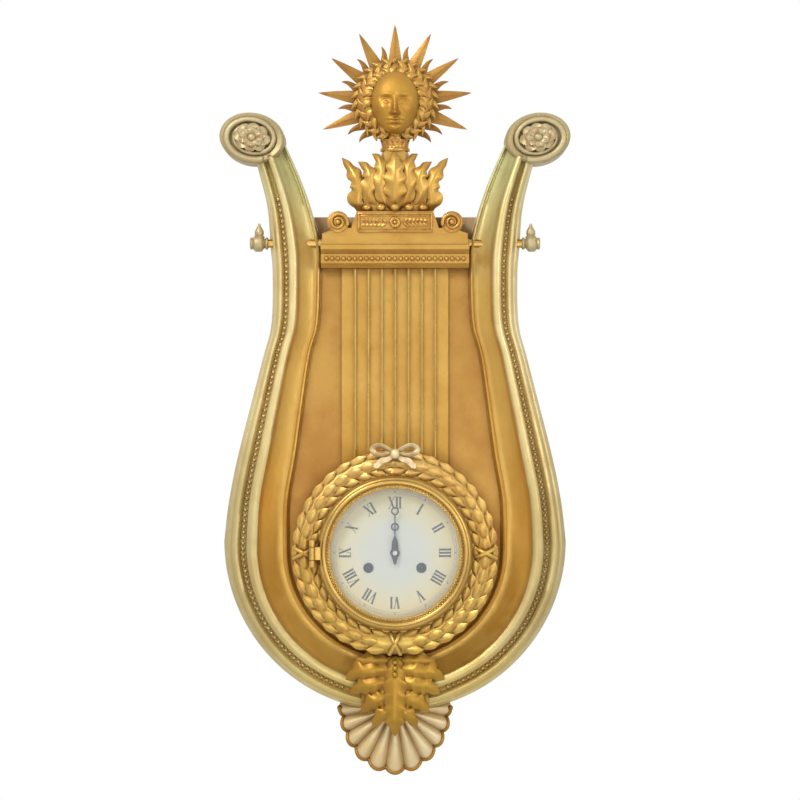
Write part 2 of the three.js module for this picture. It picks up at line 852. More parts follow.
function knob() {
  const start = knobStart();
  const run = knobShares.map(([radius, along]) => [radius * knobRadius, start + along * knobLength]);
  const profile = [[0, start], ...run, [0, start + knobLength]];
  const ball = turned(profile, smallSteps).rotateY(Math.PI / 2).translate(0, rodRise(), rodDepth);
  const foot = rodRise() + knobRadius / 2;
  const tip = new THREE.ConeGeometry(knobFinialRadius, knobFinialHeight, pivotSteps);
  tip.translate(start + knobLength / 2, foot + knobFinialHeight / 2, rodDepth);
  const bore = rodAlongX(rodRadius + seat, 0, start + knobLength / 2, rodRise(), rodDepth);
  return cut(joined(ball, tip), bore);
}

function crossbarRod() {
  const halfLength = knobStart() + knobLength / 2 - seat;
  return rodAlongX(rodRadius, -halfLength, halfLength, rodRise(), rodDepth);
}

// Plinth with a roll on each shoulder
function plinth() {
  const foot = crossbarRise + crossbarHeight + seat;
  const top = foot + plinthHeight;
  const back = backBoardGap + backBoardThickness + seat;
  const half = crossbarHalfLength() - plinthStep;
  const rollReach = half - plinthRollInset;
  const waist = half - plinthWaistInset;
  const shoulder = foot + plinthHeight / 2;
  const step = plinthHeight / 6;
  const outline = symmetric([
    [0, foot],
    [half, foot],
    [half, shoulder - step],
    [rollReach, shoulder],
    [waist, shoulder],
    [waist - step, top],
    [0, top],
  ]);
  const block = slab(outline, back, plinthFront - step / 2);
  const fillet = alongX([
    [plinthFront - step - weldDepth, foot],
    [plinthFront, foot],
    [plinthFront, foot + step],
    [plinthFront - step / 2, foot + step * 2],
    [plinthFront - step - weldDepth, foot + step * 2],
  ], half);
  const rolls = [-1, 1].map((side) => {
    const place = [side * rollReach, top - plinthRollRadius];
    return disc(plinthRollRadius, back, plinthFront - step / 2, middleSteps, ...place);
  });
  return cut(joined(block, fillet, ...rolls), rodHole());
}

function crestFoot() {
  return crossbarRise + crossbarHeight + plinthHeight + seat * 2;
}

function leafCrest() {
  const foot = crestFoot();
  const top = foot + crestTopShare * crestHeight;
  const run = smooth(crestShares, middleSteps).map(([x, y]) => [x * crestHalfWidth, foot + y * crestHeight]);
  const outline = symmetric([[0, foot], ...run, [0, top]]);
  const leaves = chamferedSlab(outline, crestBack, crestFront, crestBevel);
  const swell = new THREE.SphereGeometry(1, smallSteps, pinSteps);
  swell.scale(crestBulge * neckWaistShare, crestBulge, crestBulge / 2);
  swell.translate(0, foot + crestHeight / 2, crestFront - crestBevel);
  return joined(leaves, swell);
}

// Sun
function sunNeck() {
  const rise = neckLength + weldDepth * 4;
  const waist = neckHalfWidth * neckWaistShare;
  const profile = [
    [0, 0],
    [neckHalfWidth, 0],
    [waist, rise / 3],
    [waist, (rise * 2) / 3],
    [neckHalfWidth, rise],
    [0, rise],
  ];
  const depthShare = neckDepth / (neckHalfWidth * 2);
  const column = turned(profile, smallSteps).rotateX(-Math.PI / 2).scale(1, 1, depthShare);
  column.translate(0, neckFoot, (crestBack + crestFront) / 2);
  const hubFront = sunBack + hubThickness;
  const hubRoom = disc(hubRadius + seat, 0, hubFront + seat, roundSteps * 2, 0, sunRise);
  const hairRoom = disc(hairRadius + seat, hubFront, crestFront, roundSteps * 2, 0, sunRise);
  return cut(column, hubRoom, hairRoom);
}

// Long rays with shorter ones between them, round a hub
function sunRays() {
  const hub = disc(hubRadius, sunBack, sunBack + hubThickness, roundSteps);
  const pitch = (2 * Math.PI) / rayCount;
  const rays = [];
  for (let k = -fullRaysEachSide - 1; k <= fullRaysEachSide + 1; k += 1) {
    const reach = Math.abs(k) > fullRaysEachSide ? shortRayReach : rayReach;
    rays.push(rayGeometry(reach).rotateZ(k * pitch));
    if (k <= fullRaysEachSide) rays.push(rayGeometry(betweenRayReach).rotateZ((k + 1 / 2) * pitch));
  }
  return joined(hub, ...rays).translate(0, sunRise, 0);
}

function rayGeometry(reach) {
  const root = hubRadius - rayHalfWidth;
  const ray = new THREE.CylinderGeometry(0, 1, reach - root, 4);
  ray.scale(rayHalfWidth, 1, rayHalfDepth);
  return ray.translate(0, (reach + root) / 2, sunBack + hubThickness / 2);
}

function sunFace() {
  const lockShares = [0.94, 0.06];
  const lock = (angle) => Math.cos(hairLocks * (angle - Math.PI / 2));
  const radiusAt = (angle) => hairRadius * (lockShares[0] + lockShares[1] * lock(angle));
  const heightAt = (x, y, share, angle) => {
    const wave = 1 + 2 * lockShares[1] * lock(angle) * share;
    const hair = hairHeight * wave * Math.sqrt(Math.max(1 - lockShares[0], 1 - share ** 4));
    const fromAxis = (x / faceHalfWidth) ** 2 + ((y + faceDrop) / faceHalfHeight) ** 2;
    const face = fromAxis < 1 ? faceHeight * Math.sqrt(1 - fromAxis) : 0;
    const nose = noseHeight * Math.exp(-((x / noseHalfWidth) ** 2) - ((y + faceDrop * 2) / noseLength) ** 2);
    return hair + face + nose;
  };
  const back = sunBack + hubThickness + seat;
  return relief(radiusAt, heightAt, back, faceRings, hairLocks * 3).translate(0, sunRise, 0);
}

// Foot of the lyre: a block between the arms, under a broad leaf that hides their joints
function bottomBoss() {
  const half = bossHalfWidth;
  const top = Math.asin(half / hollowRadius);
  const foot = Math.asin(half / bowlRadius);
  const shape = new THREE.Shape();
  shape.absarc(0, 0, hollowRadius, -Math.PI / 2 + top, -Math.PI / 2 - top, true);
  shape.absarc(0, bowlRise, bowlRadius, -Math.PI / 2 - foot, -Math.PI / 2 + foot, false);
  shape.closePath();
  const block = slab(shape, 0, bossFront, pivotSteps);
  const leafTop = ringRadius + leafClearance;
  const leafTip = bowlRadius - bowlRise + leafHang;
  const length = leafTip - leafTop;
  const run = smooth(bossLeafShares, leafSteps).reverse();
  const points = run.map(([x, y]) => [x * leafHalfWidth, -leafTop - y * length]);
  points[0][0] = 0;
  const leafBack = armDepth + seat * 2;
  const leaf = chamferedSlab(symmetric([...points, [0, -leafTop]]), leafBack, leafFront, leafBevel);
  const tongue = slab(shapeOf([
    [0, tongueEnd - leafTip],
    [tongueHalfWidth, bowlRise - bowlRadius],
    [tongueHalfWidth, -hollowRadius - tongueHalfWidth],
    [-tongueHalfWidth, -hollowRadius - tongueHalfWidth],
    [-tongueHalfWidth, bowlRise - bowlRadius],
  ]), tongueBack, leafBack + weldDepth);
  const bud = new THREE.SphereGeometry(1, smallSteps, pinSteps);
  bud.scale(tongueHalfWidth / 2, tongueHalfWidth, tongueHalfWidth / 3);
  bud.translate(0, -(leafTop + leafTip) / 2, leafFront - leafBevel);
  return joined(block, leaf, tongue, bud);
}

// Fluted shell under the bowl
function palmettePendant() {
  const lobes = pendantFlutes * 2;
  const fluteShares = [0.93, 0.07, 0.55];
  const wave = (angle) => Math.abs(Math.sin((lobes / 2) * angle));
  const radiusAt = (angle) => {
    const ellipse = 1 / Math.hypot(Math.cos(angle) / pendantHalfWidth, Math.sin(angle) / pendantLength);
    return ellipse * (fluteShares[0] + fluteShares[1] * wave(angle));
  };
  const heightAt = (x, y, share, angle) => {
    const flute = fluteShares[2] + (1 - fluteShares[2]) * wave(angle) * share;
    return pendantEdge + pendantSwell * flute * (1 - share ** 3);
  };
  const centreRise = pendantOverlap + bowlRise - bowlRadius;
  const shell = relief(radiusAt, heightAt, pendantBack, pendantRings, lobes * 3).translate(0, centreRise, 0);
  return cut(shell, disc(bowlRadius + seat * 2, -overrun, armDepth * 2, roundSteps * 2, 0, bowlRise));
}

// Case ring and bezel
function caseRing() {
  const foot = soundBoardDepth + soundBoardThickness + seat;
  const lipRadius = bezelRadius + bezelPlay;
  const crown = (ringRadius + lipRadius) / 2;
  const rollHalf = (ringRadius - lipRadius) / 2 - bezelPlay;
  const roll = rollStepShares.map((share) => {
    const angle = share * Math.PI;
    return [crown + rollHalf * Math.cos(angle), ringLip + (ringFront - ringLip) * Math.sin(angle)];
  });
  const profile = [
    [ringBore, foot],
    [ringRadius, foot],
    [ringRadius, ringShoulder],
    [ringRadius - bezelPlay, ringLip - bezelPlay * 3],
    ...roll,
    [lipRadius, ringLip],
    [dialWellRadius, ringLip],
    [dialWellRadius, ringLedge],
    [ringBore, ringLedge],
    [ringBore, foot],
  ];
  const knuckles = [-1, 1].map(ringKnuckle);
  return cut(joined(turned(profile), ...knuckles), hingeBore());
}

// Hinge knuckle on its post, above or below the bezel's own
function ringKnuckle(side) {
  const span = knuckleHeight / 2;
  const middle = side * (span * 1.5 + seat);
  const [low, high] = [middle - span / 2, middle + span / 2];
  const barrel = rodAlongY(hingeKnuckle, low, high, -hingeReach, bezelFront, eyeSteps);
  const postDepth = bezelFront - ringLip;
  const postX = -hingeReach - hingeKnuckle / 2;
  return joined(barrel, box(hingeWeb, span, postDepth, postX, middle, bezelFront - postDepth / 2));
}

function hingeBore() {
  const reach = knuckleHeight * 2;
  return rodAlongY(hingePinRadius + seat, -reach, reach, -hingeReach, bezelFront, pivotSteps);
}

function bezel() {
  const back = ringLip + seat;
  const lip = bezelFront - lipThickness;
  const profile = [
    [glassRadius + seat, back],
    [bezelRadius, back],
    [bezelRadius, lip - lipThickness],
    [(bezelRadius + apertureRadius) / 2, bezelFront],
    [apertureRadius + lipThickness, bezelFront],
    [apertureRadius, lip],
    [glassRadius + seat, lip],
    [glassRadius + seat, back],
  ];
  const half = knuckleHeight / 2 - seat;
  const barrel = rodAlongY(hingeKnuckle, -half, half, -hingeReach, bezelFront, eyeSteps);
  const reach = hingeReach - bezelRadius + lipThickness * 2;
  const webX = -hingeReach + reach / 2;
  const web = box(reach, half * 2, hingeWeb, webX, 0, bezelFront - lipThickness - hingeWeb / 2);
  return cut(joined(turned(profile), barrel, web), hingeBore());
}

// Two loops, two tails and a knot, flat at the back
function ribbonBow() {
  const loop = new THREE.Shape();
  loop.absellipse(bowHalfWidth / 2, 0, bowHalfWidth / 2, bowHeight / 2, 0, 2 * Math.PI, false);
  const inside = new THREE.Path();
  const eye = [bowHalfWidth / 2 - bowRibbon, bowHeight / 2 - bowRibbon];
  inside.absellipse(bowHalfWidth / 2 + bowRibbon / 4, 0, ...eye, 0, 2 * Math.PI, true);
  loop.holes.push(inside);
  const right = slab(loop, 0, bowThickness, pivotSteps).rotateZ(bowTilt);
  const knot = new THREE.SphereGeometry(bowRibbon, stringSteps, pivotSteps).translate(0, 0, bowThickness / 2);
  const behind = box(bowRibbon * 3, bowRibbon * 3, bowRibbon * 2, 0, 0, -bowRibbon);
  const tail = slab(shapeOf([
    [0, 0],
    [bowHalfWidth - bowRibbon / 2, -bowHeight + bowRibbon / 2],
    [bowHalfWidth - bowRibbon, -bowHeight - bowRibbon / 3],
    [-bowRibbon / 2, -bowRibbon],
  ]), 0, bowThickness - bowRibbon / 3);
  const bow = joined(right, mirrored(right), knot, tail, mirrored(tail));
  return cut(bow, behind).translate(0, ringRadius - bowDrop, ringFront + seat);
}

// Dial
function dialPlate() {
  const back = ringLedge + seat;
  const shape = circle(dialPlateRadius);
  const opening = distance(centrePlace, goingPlace) - windingHole - dialPlateWeb;
  shape.holes.push(hole(opening, middleSteps));
  [goingPlace, strikePlace].forEach(([x, y]) => shape.holes.push(hole(windingHole + seat, smallSteps, x, y)));
  const plate = slab(shape, back, back + dialPlateThickness);
  const footTop = frontPlateDepth() + plateThickness + seat;
  const feet = footAngles.map((angle) => {
    return disc(pillarRadius, footTop, back + weldDepth, pivotSteps, ...polar(pillarCircle, angle));
  });
  return joined(plate, ...feet);
}

function dial() {
  const back = ringLedge + dialPlateThickness + seat * 2;
  const edge = back + dialThickness;
  const crown = edge + dialDome;
  const profile = [
    [dialCentreHole, back],
    [dialRadius, back],
    [dialRadius, edge],
    [dialRadius / 2, (edge + crown * 3) / 4],
    [dialCentreHole, crown],
    [dialCentreHole, back],
  ];
  const holes = [goingPlace, strikePlace].map(([x, y]) => {
    return disc(windingHole, back - overrun, crown + overrun, smallSteps, x, y);
  });
  return cut(turned(profile), ...holes);
}

function dialCrown() {
  return ringLedge + dialPlateThickness + seat * 2 + dialThickness + dialDome;
}

// Hand with a lozenge over its hub and a pierced eye near its tip, pointing up
function handShape(length, eyeShare, pipeRadius) {
  const eye = length * eyeShare;
  const half = handShank / 2;
  const start = Math.asin(half / handEyeRadius);
  const middle = (lozengeFoot + lozengeTop) / 2;
  const shape = new THREE.Shape();
  shape.moveTo(0, length);
  shape.absarc(0, eye, handEyeRadius, Math.PI / 2 + start, 1.5 * Math.PI - start, false);
  shape.lineTo(-half, lozengeTop);
  shape.lineTo(-lozengeHalfWidth, middle);
  shape.absarc(0, 0, pipeRadius + seat + handEyeWall, Math.PI * 0.75, Math.PI * 1.25, false);
  shape.lineTo(-lozengeHalfWidth / 2, -handTail + handShank * 2);
  shape.lineTo(0, -handTail);
  shape.lineTo(lozengeHalfWidth / 2, -handTail + handShank * 2);
  shape.absarc(0, 0, pipeRadius + seat + handEyeWall, -Math.PI / 4, Math.PI / 4, false);
  shape.lineTo(lozengeHalfWidth, middle);
  shape.lineTo(half, lozengeTop);
  shape.absarc(0, eye, handEyeRadius, -Math.PI / 2 + start, Math.PI / 2 - start, false);
  shape.closePath();
  shape.holes.push(hole(handEyeRadius - handEyeWall, eyeSteps, 0, eye));
  shape.holes.push(hole(pipeRadius + seat));
  return shape;
}

function minuteHand() {
  const back = dialCrown() + minuteHandLift;
  const shape = handShape(apertureRadius * minuteHandShare, minuteEyeShare, cannonRadius);
  return slab(shape, back, back + handThickness, pivotSteps / 2);
}

function hourHand() {
  const back = dialCrown() + hourHandLift;
  const shape = handShape(apertureRadius * hourHandShare, hourEyeShare, hourPipeRadius);
  return slab(shape, back, back + handThickness, pivotSteps / 2);
}

// Wheelwork. Teeth of a wheel are sharp and leaves of a pinion are blunt, with clearance all round
function pitchRadius(teeth, module) {
  return (teeth * module) / 2;
}

function reachOf(teeth, leaves, module) {
  return pitchRadius(teeth, module) + pitchRadius(leaves, module);
}

// One tooth points along the angle that is given
function wheelOutline(teeth, module, angle) {
  const tip = pitchRadius(teeth, module) + module * wheelTipShare;
  const root = pitchRadius(teeth, module) - module * wheelRootShare;
  const points = [];
  for (let tooth = 0; tooth < teeth; tooth += 1) {
    const turn = angle + (tooth / teeth) * 2 * Math.PI;
    points.push(polar(tip, turn), polar(root, turn + Math.PI / teeth));
  }
  return shapeOf(points);
}

// One gap points along the angle that is given
function pinionOutline(leaves, module, angle) {
  const tip = pitchRadius(leaves, module) + module * leafTipShare;
  const root = pitchRadius(leaves, module) - module * leafRootShare;
  const pitch = (2 * Math.PI) / leaves;
  const points = [];
  for (let leaf = 0; leaf < leaves; leaf += 1) {
    const turn = angle + (leaf + 1 / 2) * pitch;
    points.push(polar(root, turn - pitch * leafRootWidthShare), polar(tip, turn - pitch * leafTipWidthShare));
    points.push(polar(tip, turn + pitch * leafTipWidthShare), polar(root, turn + pitch * leafRootWidthShare));
  }
  return shapeOf(points);
}

// Four crossings leave a rim, a hub and four arms
function crossings(shape, rimRadius) {
  const hubOuter = rimRadius * crossingHubShare;
  const halfArm = (rimRadius * crossingArmShare) / 2;
  for (let quarter = 0; quarter < 4; quarter += 1) {
    const middle = (quarter + 1 / 2) * (Math.PI / 2);
    const outer = Math.PI / 4 - Math.asin(halfArm / rimRadius);
    const inner = Math.PI / 4 - Math.asin(halfArm / hubOuter);
    const path = new THREE.Path();
    path.moveTo(...polar(rimRadius, middle + outer));
    path.absarc(0, 0, rimRadius, middle + outer, middle - outer, true);
    path.absarc(0, 0, hubOuter, middle - inner, middle + inner, false);
    path.closePath();
    shape.holes.push(path);
  }
  return shape;
}

function frontPlateDepth() {
  return backPlateDepth + plateThickness + plateSpacing;
}

// Place of an arbor at a reach and bearing from another
function placedFrom([x, y], reach, angle) {
  const [stepX, stepY] = polar(reach, angle);
  return [x + stepX, y + stepY];
}

function bearing(from, to) {
  return Math.atan2(to[1] - from[1], to[0] - from[0]);
}

function distance(from, to) {
  return Math.hypot(to[0] - from[0], to[1] - from[1]);
}

// Places of the arbors, each from the one before it and the two pitch radii
const centrePlace = [0, 0];
const barrelReach = reachOf(barrelTeeth, secondPinionLeaves, barrelModule);
const secondReach = reachOf(secondTeeth, centrePinionLeaves, secondModule);
const secondPlace = placedFrom(centrePlace, secondReach, secondAngle);
const goingPlace = placedFrom(secondPlace, barrelReach, barrelAngle);
const thirdReach = reachOf(centreTeeth, thirdPinionLeaves, centreModule);
const thirdPlace = placedFrom(centrePlace, thirdReach, thirdAngle);
const escapeReach = reachOf(thirdTeeth, escapePinionLeaves, thirdModule);
const escapePlace = [0, thirdPlace[1] + Math.sqrt(escapeReach ** 2 - thirdPlace[0] ** 2)];
const anchorPlace = [0, escapePlace[1] + anchorRise];
const minuteWheelReach = reachOf(minuteWheelTeeth, cannonLeaves, motionModule);
const minuteWheelPlace = placedFrom(centrePlace, minuteWheelReach, minuteWheelAngle);
const hourWheelModule = (2 * minuteWheelReach) / (minutePinionLeaves + hourWheelTeeth);
const strikePlace = [-goingPlace[0], goingPlace[1]];
const pinWheelPlace = placedFrom(strikePlace, barrelReach, pinWheelAngle);
const warningReach = reachOf(strikePinTeeth, warningPinionLeaves, secondModule);
const warningPlace = placedFrom(pinWheelPlace, warningReach, warningAngle);
const flyReach = reachOf(warningTeeth, flyPinionLeaves, thirdModule);
const flyPlace = placedFrom(warningPlace, flyReach, flyAngle);
const hammerPlace = [-plateRadius * hammerReachShare, -plateRadius * hammerDropShare];

// Levels between the plates, counted from the back plate's inner face, and of the motion work
const plateInside = backPlateDepth + plateThickness;
const secondLevel = plateInside + wheelThickness;
const centreLevel = secondLevel + wheelStep;
const barrelFoot = centreLevel + wheelThickness + barrelRoom;
const greatLevel = barrelFoot + barrelDrumLength;
const greatPinionLevel = greatLevel + (greatThickness - wheelThickness) / 2;
const thirdLevel = barrelFoot + barrelDrumLength / 2;
const escapeLevel = secondLevel;
const motionLevel = frontPlateDepth() + plateThickness + wheelThickness / 2;
const hourLevel = motionLevel + wheelThickness * 2;

// Arbor with a thinner pivot at each end, run into the plates
function arbor(radius = arborRadius, front = frontPlateDepth() + plateThickness) {
  const shoulderBack = plateInside + seat;
  const shoulderFront = frontPlateDepth() - seat;
  return turned([
    [0, backPlateDepth],
    [pivotRadius, backPlateDepth],
    [pivotRadius, shoulderBack],
    [radius, shoulderBack],
    [radius, shoulderFront],
    [pivotRadius, shoulderFront],
    [pivotRadius, front],
    [0, front],
  ], pivotSteps);
}

// Arbor that runs on behind the back plate, as far as a rear shoulder
function throughArbor(rearShoulder) {
  return [
    [arborRadius, rearShoulder],
    [arborRadius, frontPlateDepth() - seat],
    [pivotRadius, frontPlateDepth() - seat],
    [pivotRadius, frontPlateDepth() + plateThickness],
    [0, frontPlateDepth() + plateThickness],
  ];
}

function wheelAt(teeth, module, angle, level, rimDepth = rimModules) {
  const rim = pitchRadius(teeth, module) - module * rimDepth;
  const shape = crossings(wheelOutline(teeth, module, angle), rim);
  return slab(shape, level, level + wheelThickness, crossingSteps);
}

function pinionAt(leaves, module, angle, level) {
  const back = level - (pinionLength - wheelThickness) / 2;
  const foot = Math.max(back, plateInside + seat);
  return slab(pinionOutline(leaves, module, angle), foot, back + pinionLength);
}

// Barrel with its great wheel, loose on the winding arbor
function barrel(ownPlace, nextPlace) {
  const teeth = wheelOutline(barrelTeeth, barrelModule, bearing(ownPlace, nextPlace));
  const bore = windingArborRadius + seat;
  const great = slab(teeth, greatLevel, greatLevel + greatThickness);
  const body = disc(barrelDrumRadius, barrelFoot, greatLevel + weldDepth);
  const hubFront = greatLevel + greatThickness + weldDepth;
  const hub = disc(bore + arborRadius, barrelFoot - weldDepth, hubFront, smallSteps);
  return cut(joined(great, body, hub), disc(bore, 0, ringFront, smallSteps));
}

function windingArbor() {
  const front = ringLedge + dialPlateThickness + seat;
  const ratchetBack = frontPlateDepth() + plateThickness + seat;
  const ratchetFront = ratchetBack + wheelThickness;
  const shaft = disc(windingArborRadius, backPlateDepth, ratchetFront, smallSteps);
  const square = box(windingSquare, windingSquare, front - ratchetBack, 0, 0, (front + ratchetBack) / 2);
  const points = [];
  for (let tooth = 0; tooth < ratchetTeeth; tooth += 1) {
    const turn = (tooth / ratchetTeeth) * 2 * Math.PI;
    const root = turn + (Math.PI / ratchetTeeth) * ratchetLeanShare;
    points.push(polar(ratchetRadius, turn), polar(ratchetRadius - ratchetToothDepth, root));
  }
  return joined(shaft, square, slab(shapeOf(points), ratchetBack, ratchetFront));
}

function secondWheel() {
  const wheel = wheelAt(secondTeeth, secondModule, bearing(secondPlace, centrePlace), secondLevel);
  const toBarrel = bearing(secondPlace, goingPlace);
  return joined(arbor(), wheel, pinionAt(secondPinionLeaves, barrelModule, toBarrel, greatPinionLevel));
}

function centreWheel() {
  const wheel = wheelAt(centreTeeth, centreModule, bearing(centrePlace, thirdPlace), centreLevel);
  const toSecond = bearing(centrePlace, secondPlace);
  const pinion = pinionAt(centrePinionLeaves, secondModule, toSecond, secondLevel);
  return joined(arbor(arborRadius, dialCrown() + minuteHandLift), wheel, pinion);
}

function thirdWheel() {
  const wheel = wheelAt(thirdTeeth, thirdModule, bearing(thirdPlace, escapePlace), thirdLevel);
  const toCentre = bearing(thirdPlace, centrePlace);
  const pinion = pinionAt(thirdPinionLeaves, centreModule, toCentre, centreLevel);
  return joined(arbor(fineArborRadius), wheel, pinion);
}

function escapeWheel() {
  const points = [];
  for (let tooth = 0; tooth < escapeTeeth; tooth += 1) {
    const turn = (tooth / escapeTeeth) * 2 * Math.PI;
    const root = turn + (Math.PI / escapeTeeth) * toothLeanShare;
    points.push(polar(escapeRadius, turn), polar(escapeRadius - escapeToothDepth, root));
  }
  const shape = crossings(shapeOf(points), escapeRadius - escapeToothDepth * 2);
  const wheel = slab(shape, escapeLevel, escapeLevel + wheelThickness, crossingSteps);
  const toThird = bearing(escapePlace, thirdPlace);
  const pinion = pinionAt(escapePinionLeaves, thirdModule, toThird, thirdLevel);
  return joined(arbor(fineArborRadius), wheel, pinion);
}

// Anchor with its pallets, its arbor through the back plate, and the crutch with its fork behind
function anchor() {
  const reach = escapeRadius * palletReachShare;
  const drop = anchorRise - Math.sqrt((escapeRadius + forkPlay) ** 2 - reach ** 2);
  const pallets = slab(symmetric([
    [0, -crutchWidth / 2],
    [reach / 2, -crutchWidth / 2],
    [reach - crutchWidth / 2, crutchWidth / 2 - drop],
    [reach + crutchWidth / 4, crutchWidth / 4 - drop],
    [reach + crutchWidth / 2, crutchWidth - drop],
    [reach / 2 + crutchWidth / 4, crutchWidth],
    [0, crutchWidth],
  ]), escapeLevel, escapeLevel + anchorThickness);
  const rearPivot = backPlateDepth - cockStand - cockThickness;
  const rearShoulder = backPlateDepth - cockStand + seat;
  const shaft = turned([
    [0, rearPivot],
    [pivotRadius, rearPivot],
    [pivotRadius, rearShoulder],
    ...throughArbor(rearShoulder),
  ], pivotSteps);
  const armBack = backPlateDepth - seat * 3 - crutchThickness;
  const armMiddle = armBack + crutchThickness / 2;
  const arm = box(crutchWidth, crutchLength, crutchThickness, 0, -crutchLength / 2, armMiddle);
  const gapHalf = pendulumRodRadius + forkPlay;
  const bridgeWidth = (gapHalf + forkWall) * 2;
  const bridge = box(bridgeWidth, crutchWidth, crutchThickness, 0, -crutchLength, armMiddle);
  const forkBack = pendulumDepth - pendulumRodRadius * 2;
  const depth = armBack + crutchThickness - forkBack;
  const tines = [-1, 1].map((side) => {
    const x = side * (gapHalf + forkWall / 2);
    return box(forkWall, crutchWidth, depth, x, -crutchLength, forkBack + depth / 2);
  });
  return joined(pallets, shaft, arm, bridge, ...tines);
}

function pendulumCock() {
  const back = backPlateDepth - cockStand - cockThickness;
  const front = backPlateDepth - seat;
  const y = anchorPlace[1];
  const bridge = box(cockSpan, cockHeight, cockThickness, 0, y, back + cockThickness / 2);
  const legWidth = cockSpan / 5;
  const legs = [-1, 1].map((side) => {
    const x = (side * (cockSpan - legWidth)) / 2;
    return box(legWidth, cockHeight, front - back, x, y, (front + back) / 2);
  });
  const studBack = pendulumDepth - suspensionWidth / 2;
  const studDepth = back + weldDepth - studBack;
  const studHeight = y + cockHeight / 2 - suspensionRise;
  const studMiddle = suspensionRise + studHeight / 2;
  const stud = box(studWidth, studHeight, studDepth, 0, studMiddle, studBack + studDepth / 2);
  return cut(joined(bridge, ...legs, stud), disc(pivotRadius + pivotClearance, 0, front, pivotSteps, 0, y));
}

// Spring, block, rod, bob and rating nut
function pendulum() {
  const bobDrop = suspensionRise - pendulumLength;
  const springTop = suspensionRise - seat;
  const springFoot = springTop - suspensionLength;
  const springMiddle = (springTop + springFoot) / 2;
  const spring = box(suspensionWidth, suspensionLength, suspensionThickness, 0, springMiddle, pendulumDepth);
  const block = box(suspensionBlock, suspensionWidth, suspensionBlock / 2, 0, springFoot, pendulumDepth);
  const rod = rodAlongY(pendulumRodRadius, bobDrop, springFoot, 0, pendulumDepth, pivotSteps);
  const profile = bobShares.map(([radius, depth]) => [radius * bobRadius, (depth * bobThickness) / 2]);
  const bob = turned(profile, bobSteps).translate(0, bobDrop, pendulumDepth);
  const nutTop = bobDrop - bobRadius + weldDepth;
  const nutFoot = nutTop - suspensionWidth;
  const nut = rodAlongY(pendulumRodRadius * 2, nutFoot, nutTop, 0, pendulumDepth, pivotSteps);
  return joined(spring, block, rod, bob, nut);
}

// Striking train
function pinCircleRadius() {
  return pitchRadius(strikePinTeeth, secondModule) - strikePinInset;
}

// Wheel whose pins lift the hammer
function pinWheel() {
  const toWarning = bearing(pinWheelPlace, warningPlace);
  const wheel = wheelAt(strikePinTeeth, secondModule, toWarning, secondLevel, pinRimModules);
  const toBarrel = bearing(pinWheelPlace, strikePlace);
  const pinion = pinionAt(secondPinionLeaves, barrelModule, toBarrel, greatPinionLevel);
  const face = secondLevel + wheelThickness;
  const pins = [];
  for (let pin = 0; pin < strikePins; pin += 1) {
    const place = polar(pinCircleRadius(), (pin / strikePins) * 2 * Math.PI);
    pins.push(disc(strikePinRadius, face - weldDepth, face + strikePinLength, pinSteps, ...place));
  }
  return joined(arbor(), wheel, pinion, ...pins);
}

function warningWheel() {
  const wheel = wheelAt(warningTeeth, thirdModule, bearing(warningPlace, flyPlace), centreLevel);
  const toPins = bearing(warningPlace, pinWheelPlace);
  const pinion = pinionAt(warningPinionLeaves, secondModule, toPins, secondLevel);
  return joined(arbor(fineArborRadius), wheel, pinion);
}

function fly() {
  const toWarning = bearing(flyPlace, warningPlace);
  const pinion = pinionAt(flyPinionLeaves, thirdModule, toWarning, centreLevel);
  const vaneMiddle = barrelFoot + flyHeight / 2;
  const vane = box(flyHalfWidth * 2, flyThickness, flyHeight, 0, 0, vaneMiddle);
  return joined(arbor(fineArborRadius), pinion, vane);
}

// Hammer: a tail at the pins, an arbor through the back plate, and an arm to the head beside the bell
function hammer() {
  const toPins = bearing(hammerPlace, pinWheelPlace);
  const pinReach = pinCircleRadius() + strikePinRadius + hammerGap;
  const tailReach = distance(hammerPlace, pinWheelPlace) - pinReach;
  const tailMiddle = secondLevel + wheelThickness + seat + hammerTailThickness / 2;
  const tail = box(tailReach, hammerArmWidth, hammerTailThickness, tailReach / 2, 0, tailMiddle);
  tail.rotateZ(toPins);
  const rear = backPlateDepth - hammerStandOff - hammerArmThickness;
  const shaft = turned([[0, rear], ...throughArbor(rear)], pivotSteps);
  const headReach = bellRadius + hammerHeadRadius + hammerGap;
  const headPlace = placedFrom([bellOffset, bellLift], headReach, hammerHeadAngle);
  const armReach = distance(hammerPlace, headPlace);
  const armMiddle = rear + hammerArmThickness / 2;
  const arm = box(armReach, hammerArmWidth, hammerArmThickness, armReach / 2, 0, armMiddle);
  arm.rotateZ(bearing(hammerPlace, headPlace));
  const head = [headPlace[0] - hammerPlace[0], headPlace[1] - hammerPlace[1]];
  const headFront = bellBack + bellHeight;
  const stem = disc(arborRadius, headFront - weldDepth, rear + hammerArmThickness, pivotSteps, ...head);
  const knocker = disc(hammerHeadRadius, headFront - hammerHeadLength, headFront, smallSteps, ...head);
  return joined(tail, shaft, arm, stem, knocker);
}

// Plates
function plate(back, front, extraHoles) {
  const shape = circle(plateRadius);
  const going = [centrePlace, secondPlace, thirdPlace, escapePlace, minuteWheelPlace];
  const striking = [pinWheelPlace, warningPlace, flyPlace];
  const pivots = [...going, ...striking].map((place) => [pivotRadius, ...place]);
  const winding = [goingPlace, strikePlace].map((place) => [windingArborRadius, ...place]);
  const cutters = [...pivots, ...winding, ...extraHoles].map(([radius, x, y]) => {
    const steps = radius > arborRadius ? smallSteps : pivotSteps;
    return disc(radius + pivotClearance, back - overrun, front + overrun, steps, x, y);
  });
  return cut(slab(shape, back, front), ...cutters);
}

